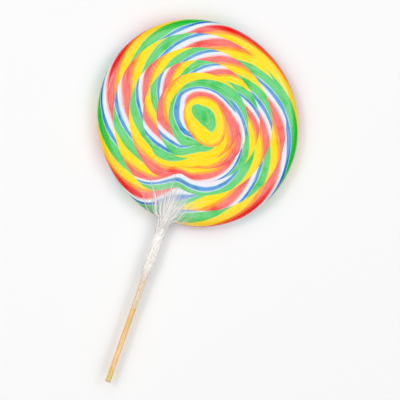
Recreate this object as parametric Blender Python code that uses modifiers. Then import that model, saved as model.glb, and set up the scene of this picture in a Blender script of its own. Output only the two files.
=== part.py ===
"""Swirl lollipop: one twisted sugar rope coiled into a disc, on a bamboo stick, in clear film.

Metres, +Z up. The sweet lies on its back with its show face up and its stick along -Y.
The origin is on the surface it lies on, below the middle of its bounding box.
Angles are clockwise from +Y, as seen from above, the way the rope is wound.
"""

import math

import bmesh
import bpy
from mathutils import Matrix, Vector

# The pressed disc
DISC_RADIUS = 0.050
DISC_THICKNESS = 0.008
RIM_REACH = 0.006  # how far in from the edge its rounding begins
OVAL = 0.028  # how far pressing by hand has made it oval, as a share of the radius
OVAL_AT = math.radians(-52)
LOBES = 0.0055  # the slight three-sided bulge on top of that
LOBES_AT = math.radians(58)

# The coil: outer edge of each turn as a share of the disc's radius, from the middle outwards
TURN_EDGES = (0.196, 0.334, 0.450, 0.577, 0.708, 0.855, 1.0)
STEP_START = math.radians(161)  # where each turn begins to step outwards, beside the stick
STEP_SPAN = 42 / 360  # how much of a turn that step takes
CENTRE_SHIFT = Vector((0.00119, 0.00346))  # the middle of the coil is off the disc's middle
SEAM_DEPTH = 0.0004  # the groove between neighbouring turns
SEAM_FADE = 0.06  # it dies out over this share of the radius, at the middle and at the edge
STEPS_PER_TURN = 64
ROPE_LINES = (0, 0.13, 0.37, 0.61, 0.84, 1)  # across a turn: seam, shoulder, crown, shoulder, seam

# The stick
STICK_DIAMETER = 0.0028
STICK_SHOWN = 0.084
STICK_INSIDE = 0.066
STICK_SIDES = 20
STICK_END_BEVEL = 0.0002

# The film
GAP = 0.0003  # clear space between neighbouring pieces
FILM_WALL = 0.0003
FILM_STEPS = 60
RIM_STEPS = 3  # facets from each face of the film's disc to the upright one at its edge
FOLDS = 10  # gathers around the neck
SIDES_PER_FOLD = 3

# Stations of the gathered neck and sleeve: distance out from the disc's edge, half width,
# half height, depth of the folds, and how far the folds are twisted round, in degrees
SLEEVE = (
    (-0.0070, 0.0072, 0.0031, 0.00000, 0),
    (0.0000, 0.0062, 0.0032, 0.00030, 0),
    (0.0025, 0.0040, 0.0030, 0.00035, 0),
    (0.0050, 0.0028, 0.0026, 0.00030, 5),
    (0.0090, 0.0025, 0.0024, 0.00020, 10),
    (0.0160, 0.0027, 0.0025, 0.00020, 20),
    (0.0220, 0.0028, 0.0026, 0.00020, 30),
    (0.0270, 0.0025, 0.0024, 0.00015, 60),
    (0.0305, 0.0022, 0.0022, 0.00010, 110),
    (0.0340, 0.0022, 0.0022, 0.00005, 140),
    (0.0460, 0.0021, 0.0021, 0.00000, 140),
)


def out_of_round(angle):
    """The disc's radius in this direction, as a share of DISC_RADIUS."""
    oval = OVAL * math.cos(2 * (angle - OVAL_AT))
    lobes = LOBES * math.cos(3 * (angle - LOBES_AT))
    return 1 + oval + lobes


EDGE_AT_STICK = DISC_RADIUS * out_of_round(math.pi)


def smooth_step(share):
    share = min(max(share, 0), 1)
    return share * share * (3 - 2 * share)


def turn_edge(turns):
    """Outer edge of the rope after this many turns, as a share of the disc's radius."""
    edge = 0
    for number, outer in enumerate(TURN_EDGES):
        inner = TURN_EDGES[number - 1] if number else 0
        edge += (outer - inner) * smooth_step((turns - number) / STEP_SPAN)
    return edge


def disc_section(share, grow=0.0):
    """Radius and height over mid-thickness at a share of the way from the middle to the edge."""
    flat = 1 - RIM_REACH / DISC_RADIUS
    turn = math.pi / 2 * (share - flat) / (1 - flat)
    if turn <= 0:
        return share * DISC_RADIUS, DISC_THICKNESS / 2 + grow
    radius = flat * DISC_RADIUS + (RIM_REACH + grow) * math.sin(turn)
    return radius, (DISC_THICKNESS / 2 + grow) * math.cos(turn)


def coil_point(turns, line):
    """A point on the show face: this many turns along the rope, on this line across it."""
    inner = turn_edge(turns - 1)
    share = inner + (turn_edge(turns) - inner) * ROPE_LINES[line]
    depth = 0
    if line in (0, len(ROPE_LINES) - 1):
        depth = SEAM_DEPTH * smooth_step(share / SEAM_FADE) * smooth_step((1 - share) / SEAM_FADE)
    radius, height = disc_section(share, -depth)
    angle = STEP_START + math.tau * turns
    radius *= out_of_round(angle)
    shift = CENTRE_SHIFT * (1 - share)
    return Vector((radius * math.sin(angle) + shift.x, radius * math.cos(angle) + shift.y, height))


def material(name, colour, roughness, alpha=1.0):
    made = bpy.data.materials.new(name)
    made.use_nodes = True
    shader = made.node_tree.nodes["Principled BSDF"]
    shader.inputs["Base Color"].default_value = (*colour, 1)
    shader.inputs["Roughness"].default_value = roughness
    shader.inputs["Metallic"].default_value = 0
    shader.inputs["Alpha"].default_value = alpha
    return made


def new_object(name, mesh, collection, parent):
    made = bpy.data.objects.new(name, mesh)
    collection.objects.link(made)
    made.parent = parent
    return made


def new_cutter(name, mesh, collection, parent):
    made = new_object(name, mesh, collection, parent)
    made.hide_render = True
    made.display_type = "WIRE"
    return made


def boolean(obj, operation, other):
    step = obj.modifiers.new(f"{operation.title()} {other.name}", "BOOLEAN")
    step.operation = operation
    step.object = other
    step.solver = "EXACT"


def mesh_from(bm, name):
    bmesh.ops.recalc_face_normals(bm, faces=bm.faces)
    mesh = bpy.data.meshes.new(name)
    bm.to_mesh(mesh)
    bm.free()
    mesh.shade_smooth()
    mesh.set_sharp_from_angle(angle=math.radians(35))
    return mesh


def rod_mesh(name, radius, start, end):
    """A round rod along Y between two places on that axis, with no corner on a row plane."""
    lay_down = Matrix.Rotation(math.pi / 2, 4, "X")
    half_side = Matrix.Rotation(math.pi / STICK_SIDES, 4, "Z")
    place = Matrix.Translation((0, (start + end) / 2, 0)) @ lay_down @ half_side
    bm = bmesh.new()
    bmesh.ops.create_cone(
        bm, cap_ends=True, segments=STICK_SIDES, radius1=radius, radius2=radius,
        depth=end - start, matrix=place,
    )
    return mesh_from(bm, name)


def candy_mesh():
    """The rope as a long strip of grid, wound into a coil, with its mirror image as the back."""
    steps = math.ceil((len(TURN_EDGES) + STEP_SPAN) * STEPS_PER_TURN)
    lines = len(ROPE_LINES) - 1
    bm = bmesh.new()
    bmesh.ops.create_grid(bm, x_segments=steps, y_segments=lines, size=0.5)
    for vert in bm.verts:
        turns = round((vert.co.x + 0.5) * steps) / STEPS_PER_TURN
        line = round((vert.co.y + 0.5) * lines)
        vert.co = coil_point(turns, line)
    everything = bm.verts[:] + bm.edges[:] + bm.faces[:]
    bmesh.ops.mirror(bm, geom=everything, axis="Z", merge_dist=1e-6)
    bmesh.ops.remove_doubles(bm, verts=bm.verts, dist=1e-5)
    bmesh.ops.dissolve_degenerate(bm, edges=bm.edges, dist=1e-6)
    return mesh_from(bm, "candy")


def disc_mesh(name, grow):
    """A smooth disc as large as the candy, grown by this much on every side."""
    rounding = RIM_REACH / DISC_RADIUS
    shares = [0] + [1 - rounding * (1 - step / (RIM_STEPS + 0.5)) for step in range(RIM_STEPS + 1)]
    top = [disc_section(share, grow) for share in shares]
    outline = top + [(radius, -height) for radius, height in reversed(top)]

    bm = bmesh.new()
    profile = [bm.verts.new((0, radius, height)) for radius, height in outline]
    edges = [bm.edges.new(pair) for pair in zip(profile, profile[1:])]
    bmesh.ops.spin(
        bm, geom=profile + edges, cent=(0, 0, 0), axis=(0, 0, -1), angle=math.tau,
        steps=FILM_STEPS, use_merge=True,
    )
    bmesh.ops.remove_doubles(bm, verts=bm.verts, dist=1e-6)
    half_step = Matrix.Rotation(math.pi / FILM_STEPS, 4, "Z")
    bmesh.ops.transform(bm, matrix=half_step, verts=bm.verts)
    for vert in bm.verts:
        stretch = out_of_round(math.atan2(vert.co.x, vert.co.y))
        vert.co.x *= stretch
        vert.co.y *= stretch
    return mesh_from(bm, name)


def sleeve_mesh():
    """The gathered neck and the sleeve down the stick: a folded ring drawn out along the stick."""
    sides = FOLDS * SIDES_PER_FOLD
    half_side = Matrix.Rotation(math.pi / sides, 4, "Z")
    stand_up = Matrix.Rotation(math.pi / 2, 4, "X")
    bm = bmesh.new()
    ring = bmesh.ops.create_circle(
        bm, cap_ends=True, segments=sides, radius=1, matrix=stand_up @ half_side
    )["verts"]
    for station, (out, half_width, half_height, fold, twist) in enumerate(SLEEVE):
        if station:
            edges = [edge for edge in bm.edges if all(vert in ring for vert in edge.verts)]
            drawn = bmesh.ops.extrude_edge_only(bm, edges=edges)["geom"]
            ring = [item for item in drawn if isinstance(item, bmesh.types.BMVert)]
        before = SLEEVE[max(station - 1, 0)]
        for vert in ring:
            if station:
                around = math.atan2(vert.co.z / before[2], vert.co.x / before[1])
            else:
                around = math.atan2(vert.co.z, vert.co.x)
            depth = fold * math.cos(FOLDS * (around - math.radians(twist)))
            vert.co.x = (half_width + depth) * math.cos(around)
            vert.co.y = -(EDGE_AT_STICK + out)
            vert.co.z = (half_height + depth) * math.sin(around)
    bmesh.ops.holes_fill(bm, edges=bm.edges, sides=sides)
    return mesh_from(bm, "film_sleeve")


def build():
    for obj in list(bpy.data.objects):
        bpy.data.objects.remove(obj)
    parts = bpy.data.collections.new("swirl_lollipop")
    cutters = bpy.data.collections.new("cutters")
    bpy.context.scene.collection.children.link(parts)
    bpy.context.scene.collection.children.link(cutters)

    # The middle of the disc, which every piece is modelled around
    middle = bpy.data.objects.new("disc_middle", None)
    parts.objects.link(middle)

    stick_end = -(EDGE_AT_STICK + STICK_SHOWN)
    stick_tip = STICK_INSIDE - EDGE_AT_STICK
    hole = rod_mesh("stick_space", STICK_DIAMETER / 2 + GAP, stick_end - GAP, stick_tip + GAP)
    stick_space = new_cutter("stick_space", hole, cutters, middle)

    candy = new_object("candy", candy_mesh(), parts, middle)
    candy.data.materials.append(material("hard candy", (1.0, 0.72, 0.02), 0.12))
    boolean(candy, "DIFFERENCE", stick_space)

    rod = rod_mesh("stick", STICK_DIAMETER / 2, stick_end, stick_tip)
    stick = new_object("stick", rod, parts, middle)
    stick.data.materials.append(material("bamboo", (0.80, 0.55, 0.27), 0.55))
    ends = stick.modifiers.new("Softened ends", "BEVEL")
    ends.width = STICK_END_BEVEL
    ends.segments = 1
    ends.limit_method = "ANGLE"
    ends.angle_limit = math.radians(60)

    film = new_object("film", disc_mesh("film", GAP + FILM_WALL), parts, middle)
    film.data.materials.append(material("clear film", (0.93, 0.94, 0.95), 0.08, alpha=0.25))
    sleeve = new_cutter("film_sleeve", sleeve_mesh(), cutters, middle)
    candy_space = new_cutter("candy_space", disc_mesh("candy_space", GAP), cutters, middle)
    boolean(film, "UNION", sleeve)
    boolean(film, "DIFFERENCE", candy_space)
    boolean(film, "DIFFERENCE", stick_space)

    # The film's disc reaches furthest on every side but one, where the stick ends
    left = min(vert.co.x for vert in film.data.vertices)
    right = max(vert.co.x for vert in film.data.vertices)
    far_edge = max(vert.co.y for vert in film.data.vertices)
    half_height = max(vert.co.z for vert in film.data.vertices)
    middle.location = (-(left + right) / 2, -(far_edge + stick_end) / 2, half_height)
    bpy.context.view_layer.update()


build()
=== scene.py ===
import math
import random

import bmesh
import bpy
from mathutils import Matrix, Vector, noise


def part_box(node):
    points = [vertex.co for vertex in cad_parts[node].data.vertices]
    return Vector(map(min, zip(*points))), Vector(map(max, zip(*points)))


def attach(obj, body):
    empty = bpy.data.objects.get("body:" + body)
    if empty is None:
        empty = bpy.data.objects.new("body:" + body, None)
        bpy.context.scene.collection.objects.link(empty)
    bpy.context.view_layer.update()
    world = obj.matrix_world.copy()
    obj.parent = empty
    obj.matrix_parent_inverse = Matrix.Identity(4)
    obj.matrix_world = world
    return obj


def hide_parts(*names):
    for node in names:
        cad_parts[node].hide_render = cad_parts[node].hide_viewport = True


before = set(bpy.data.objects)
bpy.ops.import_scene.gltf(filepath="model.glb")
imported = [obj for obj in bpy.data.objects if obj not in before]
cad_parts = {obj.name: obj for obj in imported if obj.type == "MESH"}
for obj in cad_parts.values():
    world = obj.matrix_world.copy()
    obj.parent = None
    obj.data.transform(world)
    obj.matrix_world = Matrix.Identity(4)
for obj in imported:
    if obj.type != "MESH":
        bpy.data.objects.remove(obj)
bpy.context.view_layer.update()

# ---------------------------------------------------------------------------
# The coil: boiled sugar pulled into a rope with five coloured stripes, twisted, wound clockwise
# from the middle on a board and pressed flat while warm, so that the turns fuse with a shallow
# seam between them. Angles are clockwise from +Y.
# ---------------------------------------------------------------------------

# How far pressing by hand made the disc oval, and the slight three-sided bulge on top of that, as
# shares of the radius, with their directions
OVAL = 0.028
OVAL_AT = math.radians(-52)
LOBES = 0.0055
LOBES_AT = math.radians(58)


def out_of_round(angle):
    """How far out the hand-pressed edge lies in this direction, as a share of the radius."""
    return 1 + OVAL * math.cos(2 * (angle - OVAL_AT)) + LOBES * math.cos(3 * (angle - LOBES_AT))


def direction(angle):
    return Vector((math.sin(angle), math.cos(angle), 0))


candy_low, candy_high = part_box("candy")
outline = [direction(math.radians(a)) * out_of_round(math.radians(a)) for a in range(360)]
widest = max(p.x for p in outline) - min(p.x for p in outline)
RADIUS = (candy_high.x - candy_low.x) / widest
HALF_THICK = (candy_high.z - candy_low.z) / 2
MIDDLE = Vector((
    candy_high.x - RADIUS * max(p.x for p in outline),
    candy_high.y - RADIUS * max(p.y for p in outline),
    (candy_high.z + candy_low.z) / 2,
))

# Outer edge of each turn as a share of the radius. Each turn steps outwards beside the stick,
# from STEP_START on and over STEP_SPAN of a turn
TURN_EDGES = (0.196, 0.334, 0.450, 0.577, 0.708, 0.855, 1.0)
STEP_START = math.radians(161)
STEP_SPAN = 42 / 360

# How far the middle of the coil is off the disc's middle, and how far in the rim's rounding begins
CENTRE_SHIFT = Vector((0.00119, 0.00346, 0))
RIM_REACH = 0.006

# Places round the rope, in turns of it, of the middle of each stripe
GREEN, BLUE, WHITE, RED, YELLOW = 0, 0.17, 0.29, 0.50, 0.77

# The twist: which stripe comes up on top, by degrees along each turn from where it begins. The
# first turn is the eye, whose stripes stripe_in_eye gives
ON_TOP = (
    (),
    ((10, GREEN), (60, 0.11), (120, 0.18), (140, 0.25), (160, 0.28), (220, 0.28), (240, 0.31),
     (260, 0.40), (280, RED), (300, 0.56), (320, 0.68), (332, 0.73), (345, 0.80)),
    ((0, 0.89), (12, 0.94), (32, GREEN), (57, BLUE), (69, WHITE), (88, RED), (108, 0.58),
     (122, 0.67), (140, 0.72), (160, 0.80), (200, 0.90), (230, GREEN), (260, 0.12),
     (275, 0.20), (285, WHITE), (308, RED), (330, 0.58), (350, 0.70)),
    ((25, YELLOW), (45, GREEN), (63, BLUE), (73, WHITE), (88, RED), (103, YELLOW), (117, GREEN),
     (134, WHITE), (146, RED), (158, YELLOW), (170, GREEN), (192, WHITE), (204, RED),
     (218, YELLOW), (237, GREEN), (260, WHITE), (271, RED), (288, YELLOW), (307, GREEN),
     (322, BLUE), (330, WHITE), (341, 0.42), (352, 0.50)),
    ((12, 0.62), (24, 0.60), (35, 0.52), (45, 0.53), (60, 0.66), (72, YELLOW), (94, GREEN),
     (108, BLUE), (128, RED), (147, YELLOW), (167, GREEN), (177, BLUE), (202, RED),
     (222, YELLOW), (242, GREEN), (260, BLUE), (284, RED), (302, YELLOW), (326, GREEN),
     (338, 0.13), (348, 0.18), (356, 0.19)),
    ((8, 0.17), (18, 0.16), (26, 0.14), (33, 0.15), (38, 0.24), (45, 0.52), (60, YELLOW),
     (80, GREEN), (91, BLUE), (117, RED), (133, YELLOW), (152, GREEN), (166, BLUE), (193, RED),
     (215, YELLOW), (234, GREEN), (249, BLUE), (275, RED), (293, YELLOW), (307, GREEN),
     (319, BLUE), (340, 0.54), (355, 0.73)),
    ((3, YELLOW), (11, 0.11), (18, BLUE), (26, 0.21), (32, 0.34), (42, 0.52), (58, YELLOW),
     (78, GREEN), (90, BLUE), (117, RED), (137, YELLOW), (159, GREEN), (175, BLUE), (194, 0.56),
     (205, 0.645), (220, 0.685), (230, 0.735), (240, YELLOW), (268, GREEN), (292, BLUE),
     (320, RED), (345, YELLOW), (364, GREEN), (402, BLUE)),
)

# How much of the rope's girth shows across one face, by turns along it, and how much further
# along, in turns, a stripe lies at a turn's outer edge than at its inner one
GIRTH_SHOWN = (
    (1.00, 0.17), (1.17, 0.28), (1.33, 0.26), (1.39, 0.36), (1.45, 0.62), (1.61, 0.68),
    (1.67, 0.60), (1.72, 0.40), (1.78, 0.22), (1.90, 0.22), (2.00, 0.32), (2.10, 0.34),
    (2.28, 0.33), (2.38, 0.29), (2.50, 0.28), (2.65, 0.20), (3.85, 0.20), (3.95, 0.40),
    (4.06, 0.42), (4.14, 0.24), (4.60, 0.22), (4.70, 0.17), (4.80, 0.20), (4.90, 0.22),
    (5.00, 0.32), (5.07, 0.40), (5.14, 0.22), (6.00, 0.20), (6.30, 0.24),
)
STRIPE_LEAD = 15 / 360

# How much more of the rope's girth comes round with the rounded rim, and the share of the radius
# from which it does
RIM_GIRTH = 0.14
RIM_FROM = 0.87

# How round the pressed rope still is across, as the sine of the angle from its crown to its seam
BULGE = 0.55


def smooth_step(share):
    share = min(max(share, 0), 1)
    return share * share * (3 - 2 * share)


def bump(angle, middle, spread):
    """A smooth rise to 1 at one direction that dies away to both sides, both in degrees."""
    off = math.remainder(angle - math.radians(middle), math.tau)
    return math.exp(-(off / math.radians(spread)) ** 2)


def between(stations, place):
    """The values of a list of stations, joined by straight lines, at one place."""
    for before, after in zip(stations, stations[1:]):
        if place <= after[0]:
            share = max((place - before[0]) / (after[0] - before[0]), 0)
            return [a + (b - a) * share for a, b in zip(before[1:], after[1:])]
    return stations[-1][1:]


# The most of a set of stripes that the twist turns back between two stations
MOST_BACK = 0.38


def twist_stations():
    """The twist as one list along the rope: turns along it, and sets of stripes brought round."""
    stations = []
    sets = 0
    for turn, seen in enumerate(ON_TOP):
        for degrees, stripe in seen:
            change = (stripe - sets + MOST_BACK) % 1 - MOST_BACK if stations else 0
            sets += change
            stations.append((turn + degrees / 360, sets))
    return stations


TWIST = twist_stations()


def turn_edge(turns):
    """Outer edge of the rope after this many turns, as a share of the disc's radius."""
    edge = TURN_EDGES[0]
    for number in range(1, len(TURN_EDGES)):
        gain = TURN_EDGES[number] - TURN_EDGES[number - 1]
        edge += gain * smooth_step((turns - number) / STEP_SPAN)
    return edge


# The point that the first turns are pressed to and the low bump opposite it: height as a share of
# their radius, direction and spread in degrees. Both die away over PRESS_FADE of the disc's radius
PRESSED_BUMPS = ((0.50, 133, 43), (0.10, 300, 40))
PRESSED_ASIDE = 0.04
ASIDE_AT = math.radians(60)
PRESS_FADE = 0.13


def squashed(angle, share):
    """How much further out the first turns lie where they were pressed out of round."""
    pressed = sum(height * bump(angle, middle, spread) for height, middle, spread in PRESSED_BUMPS)
    pressed += PRESSED_ASIDE * math.cos(angle - ASIDE_AT)
    return 1 + pressed * math.exp(-max(share - TURN_EDGES[0], 0) / PRESS_FADE)


# How deep the stick pushed the turns in, in metres, and its direction and spread in degrees
PUSH = 0.0048
PUSH_AT = 183
PUSH_SPREAD = 12


def pushed_in(angle, share):
    """How far the turns gave way towards the middle where the stick was pushed in."""
    depth = smooth_step((share - 0.43) / 0.24) * smooth_step((1 - share) / 0.26)
    return PUSH * depth * bump(angle, PUSH_AT, PUSH_SPREAD)


# Places round the rope of the eye's green edge and of the yellow ring's outer edge
EYE_EDGE = 0.885
RING_EDGE = 0.60

# How far out the eye's green reaches, as a share of the first turn, with what is taken off along
# its flat side and added where it swells
EYE_REACH = 0.52
EYE_FLAT = 0.21
EYE_SWELL = 0.19


def stripe_in_eye(share, angle):
    """Place round the rope of what shows on its first turn: a green eye in a yellow ring. The eye
    is flat along one side of the point and swells opposite it."""
    degrees = math.degrees(angle) % 360
    flat = smooth_step((degrees - 128) / 26) * (1 - smooth_step((degrees - 215) / 75))
    eye = EYE_REACH - EYE_FLAT * flat + EYE_SWELL * bump(angle, 300, 30)
    out = share / TURN_EDGES[0]
    if out < eye:
        return 1 - (1 - EYE_EDGE) * (out / eye) ** 4
    return EYE_EDGE - (EYE_EDGE - RING_EDGE) * ((out - eye) / (1 - eye)) ** 1.2


def stripe_on_rope(turns, across, share, side):
    """Place round the rope of the point on its surface: which stripe shows there."""
    bow = math.asin((2 * across - 1) * BULGE) / math.asin(BULGE) / 2
    round_rim = smooth_step((share - RIM_FROM) / (1 - RIM_FROM))
    if side < 0:
        bow = 1 - bow
        round_rim = 2 - round_rim
    lead = STRIPE_LEAD * smooth_step(turns - 2)
    sets, = between(TWIST, turns - lead * bow)
    girth, = between(GIRTH_SHOWN, turns)
    return sets - girth * bow - RIM_GIRTH * round_rim


def disc_section(share, grow=0.0):
    """Radius and height over mid-thickness at a share of the way from the middle to the edge."""
    flat = 1 - RIM_REACH / RADIUS
    turn = math.pi / 2 * (share - flat) / (1 - flat)
    if turn <= 0:
        return share * RADIUS, HALF_THICK + grow
    return flat * RADIUS + (RIM_REACH + grow) * math.sin(turn), (HALF_THICK + grow) * math.cos(turn)


# Lines across a turn from seam to seam, closer together near the seams
ACROSS = (
    0, 0.03, 0.07, 0.12, 0.18, 0.26, 0.34, 0.42, 0.5, 0.58, 0.66, 0.74, 0.82, 0.88, 0.93, 0.97, 1,
)
STEPS_PER_TURN = 240

# Depth of the groove between turns, and how much of a turn's width it takes on each side
SEAM_DEPTH = 0.00016
SEAM_SHARE = 0.16


def seam(across, share):
    """How deep the groove between turns is here. It dies out at the middle and at the rim."""
    to_seam = min(across, 1 - across) / SEAM_SHARE
    groove = SEAM_DEPTH * (1 - smooth_step(to_seam))
    return groove * smooth_step((share - 0.12) / 0.08) * smooth_step((1 - share) / 0.05)


def wind_coil(bm, uv_layer, first, last, side):
    """Turns first to last of one face of the coil (side 1 on top, -1 below): a wound grid."""
    steps = math.ceil((last - first) * STEPS_PER_TURN)
    lines = len(ACROSS) - 1
    made = bmesh.ops.create_grid(bm, x_segments=steps, y_segments=lines, size=0.5)["verts"]
    stripe = {}
    for vert in made:
        turns = first + round((vert.co.x + 0.5) * steps) / STEPS_PER_TURN
        across = ACROSS[round((vert.co.y + 0.5) * lines)]
        inner = turn_edge(turns - 1) if first else 0
        share = inner + (turn_edge(turns) - inner) * across
        angle = STEP_START + math.tau * turns
        radius, height = disc_section(share, -seam(across, share))
        radius *= out_of_round(angle) * squashed(angle, share)
        radius -= pushed_in(angle, share)
        place = direction(angle) * radius + CENTRE_SHIFT * (1 - share)
        vert.co = MIDDLE + place + Vector((0, 0, height * side))
        if first:
            seen = stripe_on_rope(turns, across, share, side)
            along = 3 * turns
        else:
            seen = stripe_in_eye(share, angle)
            along = across * math.sin(angle)
        stripe[vert] = (seen, along + across)
    for face in {face for vert in made for face in vert.link_faces}:
        for loop in face.loops:
            loop[uv_layer].uv = stripe[loop.vert]


bm = bmesh.new()
uv_layer = bm.loops.layers.uv.new("stripes")
for side in (1, -1):
    wind_coil(bm, uv_layer, 0, 1, side)
    wind_coil(bm, uv_layer, 1, len(TURN_EDGES) + STEP_SPAN, side)
bmesh.ops.remove_doubles(bm, verts=bm.verts, dist=2e-6)
bmesh.ops.dissolve_degenerate(bm, edges=bm.edges, dist=1e-6)
bmesh.ops.recalc_face_normals(bm, faces=bm.faces)
candy_mesh = bpy.data.meshes.new("swirl_coil")
bm.to_mesh(candy_mesh)
bm.free()
candy_mesh.shade_smooth()
candy = bpy.data.objects.new("swirl_coil", candy_mesh)
bpy.context.scene.collection.objects.link(candy)


def srgb(red, green, blue):
    """A colour given as 0 to 255, in the linear numbers that shaders take."""
    def linear(value):
        value /= 255
        return value / 12.92 if value <= 0.04045 else ((value + 0.055) / 1.055) ** 2.4
    return linear(red), linear(green), linear(blue), 1


class Nodes:
    """Adds nodes to a material and links them, so that a shader reads as a list of steps."""

    def __init__(self, name):
        self.material = bpy.data.materials.new(name)
        self.material.use_nodes = True
        self.tree = self.material.node_tree
        self.shader = self.tree.nodes["Principled BSDF"]

    def add(self, kind, inputs=(), **settings):
        node = self.tree.nodes.new(kind)
        for key, value in settings.items():
            setattr(node, key, value)
        for key, value in dict(inputs).items():
            self.set(node.inputs[key], value)
        return node

    def set(self, socket, value):
        if isinstance(value, bpy.types.NodeSocket):
            self.tree.links.new(value, socket)
        else:
            socket.default_value = value

    def math(self, operation, *values):
        return self.add("ShaderNodeMath", enumerate(values), operation=operation).outputs[0]

    def ramp(self, factor, stops):
        node = self.add("ShaderNodeValToRGB", {"Fac": factor})
        elements = node.color_ramp.elements
        while len(elements) < len(stops):
            elements.new(0.5)
        for element, (place, colour) in zip(elements, stops):
            element.position = place
            element.color = colour
        return node.outputs["Color"]

    def range(self, value, from_low, from_high, to_low=0.0, to_high=1.0):
        node = self.add("ShaderNodeMapRange", {
            "Value": value, "From Min": from_low, "From Max": from_high,
            "To Min": to_low, "To Max": to_high,
        })
        return node.outputs["Result"]

    def noise(self, vector, scale, detail, roughness=0.5):
        return self.add("ShaderNodeTexNoise", {
            "Vector": vector, "Scale": scale, "Detail": detail, "Roughness": roughness,
        }).outputs["Fac"]

    def mix(self, factor, first, second):
        node = self.add("ShaderNodeMix", data_type="RGBA")
        self.set(node.inputs[0], factor)
        self.set(node.inputs[6], first)
        self.set(node.inputs[7], second)
        return node.outputs[2]


def stripe_stops(green, cyan, blue, white, pink, red, orange, yellow, lime):
    """The five stripes round the rope, with the pale threads between them, from mid green on."""
    return (
        (0.000, green), (0.102, green), (0.116, cyan), (0.132, blue), (0.206, blue),
        (0.226, cyan), (0.244, white), (0.306, white), (0.345, pink), (0.385, red),
        (0.545, red), (0.595, orange), (0.635, orange), (0.685, yellow), (0.862, yellow),
        (0.880, lime), (0.895, green), (1.000, green),
    )


# The UV map's first number is the place round the rope and its second the way along it, so that
# threads and small waves follow the stripes
sugar = Nodes("hard candy")
uv = sugar.add("ShaderNodeUVMap", uv_map="stripes").outputs["UV"]
turned, _, _ = sugar.add("ShaderNodeSeparateXYZ", {"Vector": uv}).outputs
where = sugar.add("ShaderNodeTexCoord")
drawn = sugar.add("ShaderNodeMapping", {"Vector": uv, "Scale": (16, 1.2, 1)}).outputs[0]
wander = sugar.noise(drawn, 1.0, 3, 0.6)
wander = sugar.range(wander, 0.3, 0.7, -0.020, 0.020)
phase = sugar.math("FRACT", sugar.math("ADD", turned, wander))
edge_colour = sugar.ramp(phase, stripe_stops(
    green=srgb(0, 192, 40), cyan=srgb(190, 235, 235), blue=srgb(0, 112, 200),
    white=srgb(240, 240, 245), pink=srgb(245, 150, 140), red=srgb(240, 10, 4),
    orange=srgb(255, 110, 0), yellow=srgb(255, 214, 0), lime=srgb(190, 220, 40),
))
# The same stripes made paler: the colour of the painted reflection on the flat faces
painted_veil_colour = sugar.ramp(phase, stripe_stops(
    green=srgb(110, 215, 130), cyan=srgb(215, 242, 240), blue=srgb(96, 162, 222),
    white=srgb(240, 238, 248), pink=srgb(250, 188, 184), red=srgb(250, 122, 116),
    orange=srgb(255, 175, 60), yellow=srgb(255, 228, 0), lime=srgb(215, 232, 110),
))

# The flat faces are paler and rougher, but for clearer patches, and the rim is clear: the paleness
# is a painted reflection of the light overhead, laid into the faces' colour as a veil
_, _, facing = sugar.add("ShaderNodeSeparateXYZ", {"Vector": where.outputs["Normal"]}).outputs
# Painted reflection: how strongly the faces that look straight up or down take the pale veil
painted_veil = sugar.range(sugar.math("ABSOLUTE", facing), 0.945, 0.993)
pulled = sugar.add("ShaderNodeMapping", {"Vector": uv, "Scale": (38, 1.7, 1)}).outputs[0]
threads = sugar.noise(pulled, 1.0, 3, 0.55)
clouds = sugar.noise(where.outputs["Object"], 105, 3, 0.6)
part_clouds = sugar.math("MULTIPLY", clouds, 0.62)
part_threads = sugar.math("MULTIPLY", threads, 0.38)
clearer = sugar.range(sugar.math("ADD", part_clouds, part_threads), 0.50, 0.64, 1.0, 0.22)
painted_veil = sugar.math("MULTIPLY", painted_veil, clearer)
colour = sugar.mix(painted_veil, edge_colour, painted_veil_colour)
# Whiter streaks of painted reflection along the threads, on the flat faces only
painted_veil_streaks = sugar.math("MULTIPLY", sugar.range(threads, 0.47, 0.24, 0, 0.24), painted_veil)
colour = sugar.mix(painted_veil_streaks, colour, srgb(250, 246, 248))
sugar.set(sugar.shader.inputs["Base Color"], colour)
sugar.set(sugar.shader.inputs["Roughness"], sugar.range(painted_veil, 0, 1, 0.16, 0.34))
grain = sugar.add("ShaderNodeBump", {"Height": threads, "Strength": 0.25, "Distance": 0.00012})
sugar.set(sugar.shader.inputs["Normal"], grain.outputs[0])
sugar.shader.inputs["IOR"].default_value = 1.5
sugar.shader.inputs["Specular IOR Level"].default_value = 0.2
candy_mesh.materials.append(sugar.material)
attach(candy, "root")
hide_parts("candy")

# ---------------------------------------------------------------------------
# The stick: a round bamboo skewer, split and turned along the grain, pushed into the warm
# coil through its edge. The grain shows as fine lengthwise fibres and the cut end is rough.
# ---------------------------------------------------------------------------

stick_low, stick_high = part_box("stick")
STICK_MIDDLE = (stick_low + stick_high) / 2
STICK_RADIUS = (stick_high.z - stick_low.z) / 2
STICK_LENGTH = stick_high.y - stick_low.y
STICK_SIDES = 32
STICK_RINGS = 220

# How deep the fibres and the uneven flats go, as shares of the radius, and the ends' bevel, the
# rings of faces across them, and how rough they are
FIBRE_DEPTH = 0.020
FLAT_DEPTH = 0.025
STICK_END_BEVEL = 0.00018
END_INSETS = (0.0004, 0.0004, 0.00025)
END_ROUGHNESS = 0.00012

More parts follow.
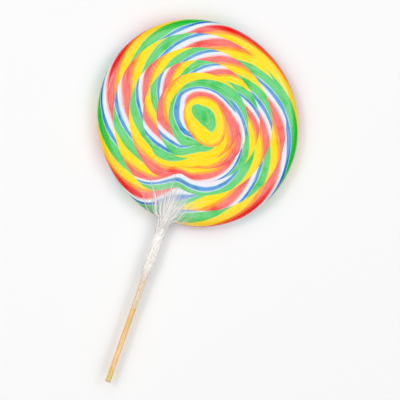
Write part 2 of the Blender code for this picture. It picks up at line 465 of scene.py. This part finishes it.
bm = bmesh.new()
laid = Matrix.Translation(STICK_MIDDLE) @ Matrix.Rotation(math.pi / 2, 4, "X")
bmesh.ops.create_cone(
    bm, cap_ends=True, segments=STICK_SIDES, radius1=STICK_RADIUS, radius2=STICK_RADIUS,
    depth=STICK_LENGTH, matrix=laid,
)
long_edges = [e for e in bm.edges if abs(e.verts[0].co.y - e.verts[1].co.y) > STICK_LENGTH / 2]
bmesh.ops.subdivide_edges(bm, edges=long_edges, cuts=STICK_RINGS, use_grid_fill=True)
caps = [face for face in bm.faces if len(face.verts) == STICK_SIDES]
rims = [edge for cap in caps for edge in cap.edges]
bmesh.ops.bevel(
    bm, geom=rims, offset=STICK_END_BEVEL, offset_type="OFFSET", affect="EDGES", segments=3,
    profile=0.5, material=-1,
)
caps = [face for face in bm.faces if len(face.verts) == STICK_SIDES]
for inset in END_INSETS:
    bmesh.ops.inset_individual(bm, faces=caps, thickness=inset)
for vert in bm.verts:
    out = Vector((vert.co.x - STICK_MIDDLE.x, 0, vert.co.z - STICK_MIDDLE.z))
    fibre = noise.noise(Vector((out.x * 2600, vert.co.y * 45, out.z * 2600)))
    flat = noise.noise(Vector((out.x * 700, vert.co.y * 30 + 9, out.z * 700)))
    vert.co += out * (FIBRE_DEPTH * (fibre - 1) + FLAT_DEPTH * flat)
    if out.length < STICK_RADIUS * 0.85:
        end = 1 if vert.co.y > STICK_MIDDLE.y else -1
        vert.co.y += end * END_ROUGHNESS * noise.noise(Vector((out.x * 3000, 3, out.z * 3000)))
bmesh.ops.recalc_face_normals(bm, faces=bm.faces)
stick_mesh = bpy.data.meshes.new("bamboo_stick")
bm.to_mesh(stick_mesh)
bm.free()
stick_mesh.shade_smooth()
stick_mesh.set_sharp_from_angle(angle=math.radians(50))
stick = bpy.data.objects.new("bamboo_stick", stick_mesh)
bpy.context.scene.collection.objects.link(stick)

bamboo = Nodes("bamboo")
where = bamboo.add("ShaderNodeTexCoord").outputs["Object"]
drawn_out = bamboo.add("ShaderNodeMapping", {"Vector": where, "Scale": (1, 0.035, 1)}).outputs[0]
fibres = bamboo.noise(drawn_out, 5200, 3, 0.6)
bands = bamboo.noise(drawn_out, 900, 2)
patches = bamboo.noise(where, 75, 2)
wood = bamboo.ramp(fibres, (
    (0.28, srgb(204, 150, 92)), (0.42, srgb(238, 190, 126)), (0.55, srgb(250, 210, 152)),
    (0.75, srgb(254, 226, 178)),
))

# Darker bands along the grain, greenish patches, and the cut end, which is grey
wood = bamboo.mix(bamboo.range(bands, 0.42, 0.60, 0, 0.6), wood, srgb(226, 158, 88))
wood = bamboo.mix(bamboo.range(patches, 0.48, 0.58, 0, 0.65), wood, srgb(222, 194, 88))
_, along, _ = bamboo.add("ShaderNodeSeparateXYZ", {"Vector": where}).outputs
cut_end = bamboo.range(along, stick_low.y + 0.0009, stick_low.y + 0.0002, 0, 0.6)
wood = bamboo.mix(cut_end, wood, srgb(150, 128, 104))
bamboo.set(bamboo.shader.inputs["Base Color"], wood)
bamboo.set(bamboo.shader.inputs["Roughness"], bamboo.range(fibres, 0.3, 0.7, 0.62, 0.45))
relief = bamboo.add("ShaderNodeBump", {"Height": fibres, "Strength": 0.5, "Distance": 0.00012})
bamboo.set(bamboo.shader.inputs["Normal"], relief.outputs["Normal"])
stick_mesh.materials.append(bamboo.material)
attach(stick, "root")
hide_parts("stick")

# ---------------------------------------------------------------------------
# The film: a bag of thin clear film drawn tight over the disc from its far edge, gathered at
# the stick into a crumpled sleeve, twisted there, and wound tight down the stick below that.
# ---------------------------------------------------------------------------

film_low, film_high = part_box("film")
NECK = MIDDLE + direction(math.pi) * RADIUS * out_of_round(math.pi)
FILM_END = NECK.y - film_low.y

# How far the film stands off the candy, and where, counted from the neck down the stick, it turns
# from the bag over the disc into the sleeve
FILM_LIFT = 0.00024
THROAT = (-0.0062, 0.0045)

# Stations down the stick: distance past the neck, half width, half height, depth of the gathers,
# and how far they are twisted round, in degrees
SLEEVE = (
    (-0.0062, 0.00800, 0.00420, 0.00036, 0),
    (-0.0030, 0.00580, 0.00380, 0.00036, 0),
    (0.0000, 0.00385, 0.00310, 0.00034, 0),
    (0.0015, 0.00305, 0.00270, 0.00032, 0),
    (0.0030, 0.00255, 0.00240, 0.00030, 0),
    (0.0048, 0.00232, 0.00225, 0.00028, 3),
    (0.0070, 0.00222, 0.00218, 0.00026, 6),
    (0.0100, 0.00222, 0.00216, 0.00026, 12),
    (0.0160, 0.00232, 0.00225, 0.00028, 22),
    (0.0216, 0.00250, 0.00240, 0.00028, 34),
    (0.0260, 0.00228, 0.00225, 0.00024, 60),
    (0.0290, 0.00200, 0.00198, 0.00016, 110),
    (0.0310, 0.00182, 0.00182, 0.00008, 160),
    (0.0340, 0.00176, 0.00176, 0.00004, 190),
    (0.0455, 0.00172, 0.00172, 0.00002, 210),
    (0.0460, 0.00150, 0.00150, 0.00000, 210),
)


def gathers(turn):
    """The folds around the bunched film, deep and shallow ones mixed, from -1 to 1."""
    waves = 0.5 * math.sin(9 * turn) + 0.3 * math.sin(14 * turn + 1.3)
    waves += 0.2 * math.sin(23 * turn + 0.7)
    return 1 - 2 * abs(waves) ** 0.7


# How high the fanned folds stand at the neck, how far over the disc they die away, and how high
# the small puckers between them are
FAN_DEPTH = 0.00016
FAN_FADE = 0.013
PUCKER_DEPTH = 0.00007


def tight_pleats(away, bearing, side):
    """Small lift of the film over the disc, in folds that fan out from the neck and die away."""
    fan = 0.5 * math.sin(0.55 * bearing + 2 * side) + 0.5 * math.sin(0.93 * bearing + 1.1)
    puckers = noise.noise(Vector((bearing * 0.09, away * 60, side * 7)))
    return FAN_DEPTH * fan * math.exp(-away / FAN_FADE) + PUCKER_DEPTH * puckers


# The least distance from the neck at which the bag still fans out, and the length over which the
# sleeve's start is eased
FAN_START = 0.0025
SLEEVE_EASE = 0.0026


def film_point(out, around):
    """A point of the film. out is how far past the neck it is, and negative over the disc, and
    around runs once round it, from the left over the show face to the right and back below."""
    over_disc = Vector()
    down_stick = Vector()
    past = smooth_step((out - THROAT[0]) / (THROAT[1] - THROAT[0]))
    if past < 1:
        away = max(-out, FAN_START)
        side = 1 if around <= 0.5 else -1
        across = 4 * around - 1 if side > 0 else 3 - 4 * around
        bearing = math.acos(min(away / (2 * RADIUS), 1)) * math.sin(math.pi / 2 * across)
        flat = Vector((away * math.sin(bearing), away * math.cos(bearing) - RADIUS))
        radius, height = disc_section(min(flat.length / RADIUS, 1), FILM_LIFT)
        angle = math.atan2(flat.x, flat.y)
        height *= 1 + tight_pleats(away, math.degrees(bearing), side) / HALF_THICK
        spot = direction(angle) * radius * out_of_round(angle)
        over_disc = MIDDLE + spot + Vector((0, 0, height * side))
    if past > 0:
        half_width, half_height, depth, twist = between(SLEEVE, out)
        turn = math.pi - math.tau * around
        fold = gathers(turn - math.radians(twist))
        crumple = noise.noise(Vector((3 * math.cos(turn), out * 420, 3 * math.sin(turn))))
        gather = depth * (fold + 0.45 * crumple - 0.35)
        along = (out + math.hypot(out, SLEEVE_EASE)) / 2
        down_stick = NECK + Vector((
            (half_width + gather) * math.cos(turn), -along, (half_height + gather) * math.sin(turn),
        ))
    return over_disc * (1 - past) + down_stick * past


# The film's rows: up the stick from the sleeve's end, through the throat, and over the disc to its
# far edge, where the last few would lie too close together and are left out
FILM_SIDES = 192
SLEEVE_ROW = 0.00036
THROAT_ROW = 0.00040
THROAT_ROWS = 27
DISC_START = 0.0065
DISC_ROWS = 110
LEFT_OUT = 3
sleeve_rows = int((FILM_END - THROAT[1]) / SLEEVE_ROW) + 1
film_rows = [FILM_END - step * SLEEVE_ROW for step in range(sleeve_rows)]
film_rows += [THROAT[1] - step * THROAT_ROW for step in range(1, THROAT_ROWS + 1)]
opening = math.acos(DISC_START / (2 * RADIUS))
for step in (*range(DISC_ROWS - LEFT_OUT), DISC_ROWS):
    film_rows.append(-2 * RADIUS * math.cos(opening * (1 - step / DISC_ROWS)))

# How milky the crumpled film is in the loose sleeve, at the twist, and wound tight below it
SLEEVE_HAZE = 0.95
TWIST_HAZE = 0.83
TIGHT_HAZE = 0.34


def film_haze(out, around):
    """How milky the film is at one place, from 0 to 1. Over the disc it clears quickly away from the
    neck and towards both sides."""
    turn = math.tau * around
    streak = noise.noise(Vector((7 * math.cos(turn), 7 * math.sin(turn), out * 90)))
    if out > -0.004:
        crinkle = noise.noise(Vector((3 * math.cos(turn), 3 * math.sin(turn), out * 700)))
        loose = SLEEVE_HAZE + (TWIST_HAZE - SLEEVE_HAZE) * smooth_step((out - 0.008) / 0.016)
        wrung = smooth_step((out - 0.024) / 0.012)
        haze = loose * (1 - wrung) + TIGHT_HAZE * wrung + 0.30 * streak + 0.22 * crinkle
    else:
        strand = noise.noise(Vector((18 * math.cos(turn), 18 * math.sin(turn), out * 50)))
        across = 2 * abs(2 * around - 1) - 1
        near = math.exp(-((out + 0.005) / 0.0090) ** 2)
        near *= math.exp(-(math.sin(math.pi / 2 * across) / 0.72) ** 2)
        haze = 0.008 + 0.016 * streak + near * (0.55 + 0.55 * strand)
    return min(max(haze, 0.0), 1.0)


bm = bmesh.new()
haze_layer = bm.verts.layers.float.new("haze")
made = bmesh.ops.create_grid(
    bm, x_segments=len(film_rows) - 1, y_segments=FILM_SIDES, size=0.5
)["verts"]
for vert in made:
    out = film_rows[round((vert.co.x + 0.5) * (len(film_rows) - 1))]
    around = round((vert.co.y + 0.5) * FILM_SIDES) / FILM_SIDES
    vert.co = film_point(out, around % 1)
    vert[haze_layer] = film_haze(out, around)
bmesh.ops.remove_doubles(bm, verts=bm.verts, dist=1e-7)
bmesh.ops.recalc_face_normals(bm, faces=bm.faces)
film_mesh = bpy.data.meshes.new("film_bag")
bm.to_mesh(film_mesh)
bm.free()
film_mesh.shade_smooth()
film = bpy.data.objects.new("film_bag", film_mesh)
bpy.context.scene.collection.objects.link(film)

# Smooth film is see-through with a faint glint, stronger edge on; crumpled film is white
clear = Nodes("clear film")
milky = clear.add("ShaderNodeAttribute", attribute_name="haze").outputs["Fac"]
glint = clear.add("ShaderNodeBsdfGlossy")
glint.inputs["Roughness"].default_value = 0.2
see_through = clear.add("ShaderNodeBsdfTransparent")
edge_on = clear.add("ShaderNodeLayerWeight", {"Blend": 0.5}).outputs["Facing"]
mirrored = clear.math("MULTIPLY_ADD", clear.math("POWER", edge_on, 5.0), 0.35, 0.028)
thin = clear.add("ShaderNodeMixShader", {
    0: mirrored, 1: see_through.outputs[0], 2: glint.outputs[0],
})
clear.shader.inputs["Base Color"].default_value = srgb(255, 252, 249)
clear.shader.inputs["Roughness"].default_value = 0.40
clear.shader.inputs["Specular IOR Level"].default_value = 0.2
both = clear.add("ShaderNodeMixShader", {
    0: milky, 1: thin.outputs[0], 2: clear.shader.outputs[0],
})
clear.set(clear.tree.nodes["Material Output"].inputs["Surface"], both.outputs[0])
film_mesh.materials.append(clear.material)
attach(film, "root")
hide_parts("film")

# ---------------------------------------------------------------------------
# The pleats: where the bag is gathered its spare film doubles over into flat folds, which run
# from the sleeve up over the rim and fan out across both faces until they die away.
# ---------------------------------------------------------------------------

# Folds on the show face: bearing of the tip from the neck, in degrees to the right of the stick,
# how far they reach over the disc, in millimetres, and their width there
SHOW_FOLDS = (
    (-82, 17, 0.8), (-70, 12, 0.8), (-60, 21, 1.0), (-52, 13, 0.9), (-45, 16, 1.0), (-38, 24, 1.0),
    (-32, 14, 0.9), (-27, 18, 1.0), (-22, 13, 0.9), (-17, 17, 1.0), (-12, 15, 0.9), (-7, 24, 1.0),
    (-2, 14, 0.9), (3, 18, 1.0), (8, 13, 0.9), (13, 17, 1.0), (19, 14, 0.9), (26, 21, 0.9),
    (33, 14, 0.9), (41, 17, 0.9), (50, 12, 0.8), (59, 15, 0.8), (72, 10, 0.7),
)

# Folds on the back, and hair-thin ones on each face
BACK_FOLDS = 16
HAIRS_PER_FACE = 34

# How far down the stick the folds start, and the point that they fan out from
FOLD_START = 0.0080
FOLD_ORIGIN = 0.0055

# A fold's section, as shares of its width and of its height, which is FOLD_RISE of its width, and
# how far it is sunk into the bag's film
FOLD_STEPS = 56
FOLD_SECTION = ((-0.5, 0.0), (-0.30, 0.55), (0.0, 1.0), (0.22, 0.9), (0.34, 0.35), (0.5, 0.0))
FOLD_RISE = 0.12
FOLD_SUNK = 0.00002


def fold_line(tip_bearing, reach, side, out):
    """Where a fold runs round the film: straight out from a point a little down the stick."""
    tip = math.radians(tip_bearing)
    heading = math.atan2(reach * math.sin(tip), reach * math.cos(tip) + FOLD_ORIGIN)
    away = max(-out, 0.006)
    bearing = heading + math.asin(max(min(FOLD_ORIGIN * math.sin(heading) / away, 1), -1))
    opening = math.acos(away / (2 * RADIUS))
    across = math.asin(max(min(bearing / opening, 0.992), -0.992)) / (math.pi / 2)
    return (across + 1) / 4 if side > 0 else (3 - across) / 4


def wind_fold(bm, haze_layer, bearing, reach, width, side, clearness):
    """One fold of doubled film along its run, closed under and tapered to nothing at both ends."""
    points = len(FOLD_SECTION)
    start = FOLD_START * (1 + 0.9 * noise.noise(Vector((bearing * 0.7, reach * 300, side))))
    made = bmesh.ops.create_grid(bm, x_segments=FOLD_STEPS, y_segments=points, size=0.5)["verts"]
    for vert in made:
        run = round((vert.co.x + 0.5) * FOLD_STEPS) / FOLD_STEPS
        place, rise = FOLD_SECTION[round((vert.co.y + 0.5) * points) % points]
        out = start - (start + reach) * run
        bend = 0.010 * noise.noise(Vector((bearing, run * 3, side)))
        turn = fold_line(bearing, reach, side, out) + bend * smooth_step(run * 2 - 0.6)
        here = film_point(out, turn)
        sideways = (film_point(out, turn + 0.002) - film_point(out, turn - 0.002)).normalized()
        onward = (film_point(out - 0.0002, turn) - here).normalized()
        outward = onward.cross(sideways)
        if outward.dot(here - Vector((here.x, here.y, MIDDLE.z))) < 0:
            outward.negate()
        taper = smooth_step(run / 0.30) * (1 - smooth_step((run - 0.45) / 0.55)) ** 0.6
        half = width * (0.20 + 0.80 * taper) if 0 < run < 1 else 0
        lift = FOLD_RISE * width * taper * rise - FOLD_SUNK
        vert.co = here + sideways * place * half + outward * lift
        vert.co.z = min(max(vert.co.z, film_low.z), film_high.z)
        # The crest is milkier than the sides: partly the doubled film's own milkiness, partly a
        # painted highlight along the fold's edge
        vert[haze_layer] = clearness * (0.55 + 0.45 * rise) * (0.25 + 0.75 * taper)


bm = bmesh.new()
haze_layer = bm.verts.layers.float.new("haze")
tuck = random.Random(11)
for bearing, reach, width in SHOW_FOLDS:
    wind_fold(bm, haze_layer, bearing, reach / 1000, width / 1000, 1, 0.85)
for number in range(BACK_FOLDS):
    bearing = -78 + 10.4 * number + tuck.uniform(-3, 3)
    wind_fold(
        bm, haze_layer, bearing, tuck.uniform(0.010, 0.026), tuck.uniform(0.0010, 0.0016), -1, 0.8,
    )
for side in (1, -1):
    for number in range(HAIRS_PER_FACE):
        bearing = -84 + 168 * (number + tuck.uniform(-0.4, 0.4)) / HAIRS_PER_FACE
        wind_fold(
            bm, haze_layer, bearing, tuck.uniform(0.008, 0.022), tuck.uniform(0.00025, 0.00045),
            side, tuck.uniform(0.30, 0.55),
        )
bmesh.ops.remove_doubles(bm, verts=bm.verts, dist=1e-6)
bmesh.ops.dissolve_degenerate(bm, edges=bm.edges, dist=5e-7)
bmesh.ops.recalc_face_normals(bm, faces=bm.faces)
pleats_mesh = bpy.data.meshes.new("film_pleats")
bm.to_mesh(pleats_mesh)
bm.free()
pleats_mesh.shade_smooth()
pleats = bpy.data.objects.new("film_pleats", pleats_mesh)
bpy.context.scene.collection.objects.link(pleats)
pleats_mesh.materials.append(clear.material)
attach(pleats, "root")
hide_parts("film")

# ---------------------------------------------------------------------------
# The table: a plain sheet of pale matt paper, wide enough to fill the picture, that the lollipop
# lies on. It isn't part of the lollipop.
# ---------------------------------------------------------------------------

bm = bmesh.new()
bmesh.ops.create_grid(bm, x_segments=1, y_segments=1, size=2)
floor_mesh = bpy.data.meshes.new("pale_table")
bm.to_mesh(floor_mesh)
bm.free()
floor = bpy.data.objects.new("pale_table", floor_mesh)
bpy.context.scene.collection.objects.link(floor)
paper = Nodes("pale table")
paper.shader.inputs["Base Color"].default_value = srgb(244, 244, 244)
paper.shader.inputs["Roughness"].default_value = 0.9
paper.shader.inputs["Specular IOR Level"].default_value = 0.1
floor_mesh.materials.append(paper.material)

# ---------------------------------------------------------------------------
# Light and camera: a white tent and two softboxes around the table, and a camera that looks down
# on it.
# ---------------------------------------------------------------------------

# A white tent over the table: brightest half way up, dimmer overhead, where it would shine back off
# the flat face, and dark at the horizon, so that the rounded edge keeps its colour
world = bpy.data.worlds.new("studio")
bpy.context.scene.world = world
world.use_nodes = True
tree = world.node_tree
look = tree.nodes.new("ShaderNodeTexCoord")
split = tree.nodes.new("ShaderNodeSeparateXYZ")
tent = tree.nodes.new("ShaderNodeValToRGB")
tree.links.new(look.outputs["Generated"], split.inputs["Vector"])
tree.links.new(split.outputs["Z"], tent.inputs["Fac"])
tree.links.new(tent.outputs["Color"], tree.nodes["Background"].inputs["Color"])
tent.color_ramp.interpolation = "EASE"
while len(tent.color_ramp.elements) < 5:
    tent.color_ramp.elements.new(0.5)
for element, (height, light) in zip(tent.color_ramp.elements, (
    (0.30, 0.05), (0.60, 1.0), (0.84, 1.0), (0.93, 0.22), (1.0, 0.22),
)):
    element.position = height
    element.color = (light, light, light, 1)
tree.nodes["Background"].inputs["Strength"].default_value = 1.45

# Two small softboxes, for a soft shadow and a glint on the film: turned round from the picture's
# top, up from the table, width and power
STICK_TURN = math.radians(19.4)
for name, bearing, rise, width, power in (
    ("left_softbox", -62, 50, 0.26, 1.3),
    ("right_softbox", 70, 46, 0.22, 0.6),
):
    bearing = math.radians(bearing) - STICK_TURN
    rise = math.radians(rise)
    toward = direction(bearing) * math.cos(rise) + Vector((0, 0, math.sin(rise)))
    lamp = bpy.data.lights.new(name, "AREA")
    lamp.shape = "DISK"
    lamp.size = width
    lamp.energy = power
    softbox = bpy.data.objects.new(name, lamp)
    softbox.location = MIDDLE + toward
    softbox.rotation_mode = "QUATERNION"
    softbox.rotation_quaternion = toward.to_track_quat("Z", "Y")
    bpy.context.scene.collection.objects.link(softbox)

# The camera looks down from above, a little to the left of the disc, with the stick leaving to
# the lower left. Its place and its aim are counted from the disc's middle, in metres to the right
# in the picture and up in it, and its height from there
CAMERA_AT = (-0.0730, -0.0166, 0.69)
AIM_AT = (0.0008, -0.0377)
picture_up = direction(-STICK_TURN)
picture_right = direction(math.pi / 2 - STICK_TURN)
camera_data = bpy.data.cameras.new("camera")
camera_data.sensor_width = 36
camera_data.lens = 127.5
camera_data.clip_start = 0.01
camera = bpy.data.objects.new("camera", camera_data)
camera.location = MIDDLE + picture_right * CAMERA_AT[0] + picture_up * CAMERA_AT[1]
camera.location.z += CAMERA_AT[2]
aim = MIDDLE + picture_right * AIM_AT[0] + picture_up * AIM_AT[1]
view = (camera.location - aim).normalized()
right = picture_up.cross(view).normalized()
up = view.cross(right)
camera.rotation_mode = "QUATERNION"
camera.rotation_quaternion = Matrix((right, up, view)).transposed().to_quaternion()
bpy.context.scene.collection.objects.link(camera)
bpy.context.scene.camera = camera
bpy.context.scene.view_settings.view_transform = "Standard"
